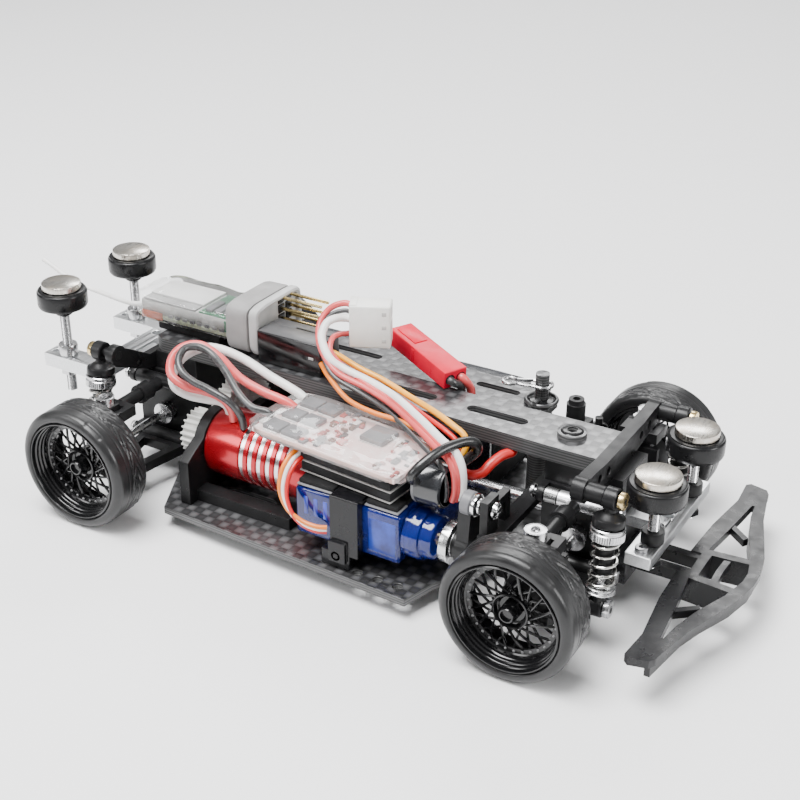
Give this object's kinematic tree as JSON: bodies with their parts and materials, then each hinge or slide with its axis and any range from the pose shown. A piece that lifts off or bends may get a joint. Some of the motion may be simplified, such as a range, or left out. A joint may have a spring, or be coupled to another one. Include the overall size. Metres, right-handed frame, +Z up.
{
  "type": "rc drift car chassis",
  "caption": "Small four-wheel-drive radio-controlled drift car chassis without body shell, with working steering, suspension, dampers and drivetrain.",
  "frame": {"origin": "middle of the overall length and width, on the ground under the tyres", "axes": "+X forwards towards the bumper, +Y to the car's left, +Z up"},
  "size_m": [0.1648, 0.074, 0.0433],
  "materials": {
    "carbon_plate": "woven sheet, satin",
    "moulded_black": "moulded, matte",
    "steel": "ground",
    "aluminium": "satin",
    "nickel": "plated, fine scratches",
    "red_can": "anodised gloss",
    "white_nylon": "moulded",
    "blue_case": "translucent",
    "clear_sleeve": "clear sleeve over boards",
    "battery_wrap": "shrink wrap",
    "red_plug": "moulded",
    "lead_insulation": "silicone lead",
    "rim_black": "gloss",
    "tyre": "hard semi-gloss"
  },
  "bodies": {
    "chassis": {"lower_plate": "carbon_plate", "upper_deck": "carbon_plate", "battery_bar": "carbon_plate", "front_gearbox": "moulded_black", "rear_gearbox": "moulded_black", "damper_towers": "moulded_black", "hinge_pins": "steel", "front_magnet_bar": "aluminium", "rear_magnet_arms": "aluminium", "magnet_posts": "moulded_black", "magnets": "nickel", "front_bumper": "moulded_black", "motor_can": "red_can", "motor_mount": "moulded_black", "servo_case": "blue_case", "servo_clamp": "moulded_black", "esc": "clear_sleeve", "receiver": "clear_sleeve", "receiver_plugs": "moulded_black", "battery_pack": "battery_wrap", "balance_plug": "white_nylon", "power_plug": "red_plug", "wiring": "lead_insulation", "damper_bodies": "moulded_black", "spring_fr": "steel", "spring_fl": "steel", "spring_rr": "steel", "spring_rl": "steel"},
    "lower_arm_fr": {"lower_arm_fr": "moulded_black"},
    "upper_arm_fr": {"upper_arm_fr": "moulded_black"},
    "carrier_fr": {"carrier_fr": "moulded_black"},
    "wheel_fr": {"rim_fr": "rim_black", "tyre_fr": "tyre"},
    "damper_rod_fr": {"damper_rod_fr": "steel"},
    "lower_arm_fl": {"lower_arm_fl": "moulded_black"},
    "upper_arm_fl": {"upper_arm_fl": "moulded_black"},
    "carrier_fl": {"carrier_fl": "moulded_black"},
    "wheel_fl": {"rim_fl": "rim_black", "tyre_fl": "tyre"},
    "damper_rod_fl": {"damper_rod_fl": "steel"},
    "lower_arm_rr": {"lower_arm_rr": "moulded_black"},
    "upper_arm_rr": {"upper_arm_rr": "moulded_black"},
    "carrier_rr": {"carrier_rr": "moulded_black"},
    "wheel_rr": {"rim_rr": "rim_black", "tyre_rr": "tyre"},
    "damper_rod_rr": {"damper_rod_rr": "steel"},
    "lower_arm_rl": {"lower_arm_rl": "moulded_black"},
    "upper_arm_rl": {"upper_arm_rl": "moulded_black"},
    "carrier_rl": {"carrier_rl": "moulded_black"},
    "wheel_rl": {"rim_rl": "rim_black", "tyre_rl": "tyre"},
    "damper_rod_rl": {"damper_rod_rl": "steel"},
    "knuckle_fr": {"knuckle_fr": "moulded_black"},
    "knuckle_fl": {"knuckle_fl": "moulded_black"},
    "front_axle": {"front_diff": "steel"},
    "rear_axle": {"rear_diff": "steel"},
    "centre_shaft": {"centre_shaft": "steel"},
    "motor_rotor": {"motor_pinion": "white_nylon"},
    "servo_horn": {"servo_horn": "moulded_black"},
    "steering_link": {"steering_link": "moulded_black"}
  },
  "joints": [
    {"name": "wheel_spin_rr", "type": "hinge", "parent": "carrier_rr", "child": "wheel_rr", "pos_m": [-0.0431, -0.0253, 0.0125], "axis": [0, 1, 0], "continuous": true},
    {"name": "steer_right", "type": "hinge", "parent": "carrier_fr", "child": "knuckle_fr", "pos_m": [0.0509, -0.0253, 0.0125], "axis": [0, 0, 1], "range_deg": [-22, 22]},
    {"name": "suspension_front_right", "type": "hinge", "parent": "chassis", "child": "lower_arm_fr", "pos_m": [0.0509, -0.008, 0.007], "axis": [-1, 0, 0], "range_deg": [-2.5, 4], "stiffness_Nm_per_rad": 0.15, "springref_deg": -2.01},
    {"name": "upper_arm_swing_front_right", "type": "hinge", "parent": "chassis", "child": "upper_arm_fr", "pos_m": [0.0509, -0.008, 0.02], "axis": [-1, 0, 0], "range_deg": [-2.5, 4]},
    {"name": "carrier_tilt_front_right", "type": "hinge", "parent": "lower_arm_fr", "child": "carrier_fr", "pos_m": [0.0509, -0.0253, 0.007], "axis": [-1, 0, 0], "range_deg": [-4, 2.5]},
    {"name": "damper_stroke_front_right", "type": "slide", "parent": "chassis", "child": "damper_rod_fr", "axis": [0, 0.1293, 0.9916], "range_m": [-0.00051, 0.00081], "deforming": ["spring_fr"]},
    {"name": "suspension_front_left", "type": "hinge", "parent": "chassis", "child": "lower_arm_fl", "pos_m": [0.0509, 0.008, 0.007], "axis": [1, 0, 0], "range_deg": [-2.5, 4], "stiffness_Nm_per_rad": 0.15, "springref_deg": -2.01},
    {"name": "upper_arm_swing_front_left", "type": "hinge", "parent": "chassis", "child": "upper_arm_fl", "pos_m": [0.0509, 0.008, 0.02], "axis": [1, 0, 0], "range_deg": [-2.5, 4]},
    {"name": "carrier_tilt_front_left", "type": "hinge", "parent": "lower_arm_fl", "child": "carrier_fl", "pos_m": [0.0509, 0.0253, 0.007], "axis": [1, 0, 0], "range_deg": [-4, 2.5]},
    {"name": "damper_stroke_front_left", "type": "slide", "parent": "chassis", "child": "damper_rod_fl", "axis": [0, -0.1293, 0.9916], "range_m": [-0.00051, 0.00081], "deforming": ["spring_fl"]},
    {"name": "suspension_rear_right", "type": "hinge", "parent": "chassis", "child": "lower_arm_rr", "pos_m": [-0.0431, -0.008, 0.007], "axis": [-1, 0, 0], "range_deg": [-2.5, 4], "stiffness_Nm_per_rad": 0.15, "springref_deg": -2.01},
    {"name": "upper_arm_swing_rear_right", "type": "hinge", "parent": "chassis", "child": "upper_arm_rr", "pos_m": [-0.0431, -0.008, 0.02], "axis": [-1, 0, 0], "range_deg": [-2.5, 4]},
    {"name": "carrier_tilt_rear_right", "type": "hinge", "parent": "lower_arm_rr", "child": "carrier_rr", "pos_m": [-0.0431, -0.0253, 0.007], "axis": [-1, 0, 0], "range_deg": [-4, 2.5]},
    {"name": "damper_stroke_rear_right", "type": "slide", "parent": "chassis", "child": "damper_rod_rr", "axis": [0, 0.1293, 0.9916], "range_m": [-0.00051, 0.00081], "deforming": ["spring_rr"]},
    {"name": "suspension_rear_left", "type": "hinge", "parent": "chassis", "child": "lower_arm_rl", "pos_m": [-0.0431, 0.008, 0.007], "axis": [1, 0, 0], "range_deg": [-2.5, 4], "stiffness_Nm_per_rad": 0.15, "springref_deg": -2.01},
    {"name": "upper_arm_swing_rear_left", "type": "hinge", "parent": "chassis", "child": "upper_arm_rl", "pos_m": [-0.0431, 0.008, 0.02], "axis": [1, 0, 0], "range_deg": [-2.5, 4]},
    {"name": "carrier_tilt_rear_left", "type": "hinge", "parent": "lower_arm_rl", "child": "carrier_rl", "pos_m": [-0.0431, 0.0253, 0.007], "axis": [1, 0, 0], "range_deg": [-4, 2.5]},
    {"name": "damper_stroke_rear_left", "type": "slide", "parent": "chassis", "child": "damper_rod_rl", "axis": [0, -0.1293, 0.9916], "range_m": [-0.00051, 0.00081], "deforming": ["spring_rl"]},
    {"name": "steer_left", "type": "hinge", "parent": "carrier_fl", "child": "knuckle_fl", "pos_m": [0.0509, 0.0253, 0.0125], "axis": [0, 0, 1], "range_deg": [-22, 22]},
    {"name": "steering_link_slide", "type": "slide", "parent": "chassis", "child": "steering_link", "axis": [0, 1, 0], "range_m": [-0.0038, 0.0038]},
    {"name": "servo_horn_turn", "type": "hinge", "parent": "chassis", "child": "servo_horn", "pos_m": [0.0339, -0.021, 0.013], "axis": [1, 0, 0], "range_deg": [-24, 24]},
    {"name": "wheel_spin_rl", "type": "hinge", "parent": "carrier_rl", "child": "wheel_rl", "pos_m": [-0.0431, 0.0253, 0.0125], "axis": [0, 1, 0], "continuous": true},
    {"name": "wheel_spin_fr", "type": "hinge", "parent": "knuckle_fr", "child": "wheel_fr", "pos_m": [0.0509, -0.0253, 0.0125], "axis": [0, 1, 0], "continuous": true},
    {"name": "wheel_spin_fl", "type": "hinge", "parent": "knuckle_fl", "child": "wheel_fl", "pos_m": [0.0509, 0.0253, 0.0125], "axis": [0, 1, 0], "continuous": true},
    {"name": "front_axle_spin", "type": "hinge", "parent": "chassis", "child": "front_axle", "pos_m": [0.0509, 0, 0.0125], "axis": [0, 1, 0], "continuous": true},
    {"name": "rear_axle_spin", "type": "hinge", "parent": "chassis", "child": "rear_axle", "pos_m": [-0.0431, 0, 0.0125], "axis": [0, 1, 0], "continuous": true},
    {"name": "centre_shaft_spin", "type": "hinge", "parent": "chassis", "child": "centre_shaft", "pos_m": [0.0039, 0, 0.0125], "axis": [1, 0, 0], "continuous": true},
    {"name": "motor_spin", "type": "hinge", "parent": "chassis", "child": "motor_rotor", "pos_m": [-0.0261, -0.01308, 0.0143], "axis": [1, 0, 0], "continuous": true}
  ],
  "couplings": [
    {"joint": "upper_arm_swing_front_right", "follows": "suspension_front_right", "ratio": 1},
    {"joint": "carrier_tilt_front_right", "follows": "suspension_front_right", "ratio": -1},
    {"joint": "damper_stroke_front_right", "follows": "suspension_front_right", "m_per_rad": 0.011597},
    {"joint": "upper_arm_swing_front_left", "follows": "suspension_front_left", "ratio": 1},
    {"joint": "carrier_tilt_front_left", "follows": "suspension_front_left", "ratio": -1},
    {"joint": "damper_stroke_front_left", "follows": "suspension_front_left", "m_per_rad": 0.011597},
    {"joint": "upper_arm_swing_rear_right", "follows": "suspension_rear_right", "ratio": 1},
    {"joint": "carrier_tilt_rear_right", "follows": "suspension_rear_right", "ratio": -1},
    {"joint": "damper_stroke_rear_right", "follows": "suspension_rear_right", "m_per_rad": 0.011597},
    {"joint": "upper_arm_swing_rear_left", "follows": "suspension_rear_left", "ratio": 1},
    {"joint": "carrier_tilt_rear_left", "follows": "suspension_rear_left", "ratio": -1},
    {"joint": "damper_stroke_rear_left", "follows": "suspension_rear_left", "m_per_rad": 0.011597},
    {"joint": "steer_left", "follows": "steer_right", "ratio": 1},
    {"joint": "steering_link_slide", "follows": "steer_right", "m_per_rad": -0.00987},
    {"joint": "servo_horn_turn", "follows": "steer_right", "ratio": 1.09},
    {"joint": "wheel_spin_rl", "follows": "wheel_spin_rr", "ratio": 1},
    {"joint": "wheel_spin_fr", "follows": "wheel_spin_rr", "ratio": 1},
    {"joint": "wheel_spin_fl", "follows": "wheel_spin_rr", "ratio": 1},
    {"joint": "front_axle_spin", "follows": "wheel_spin_rr", "ratio": 1},
    {"joint": "rear_axle_spin", "follows": "wheel_spin_rr", "ratio": 1},
    {"joint": "centre_shaft_spin", "follows": "wheel_spin_rr", "ratio": 2},
    {"joint": "motor_spin", "follows": "wheel_spin_rr", "ratio": -4}
  ]
}
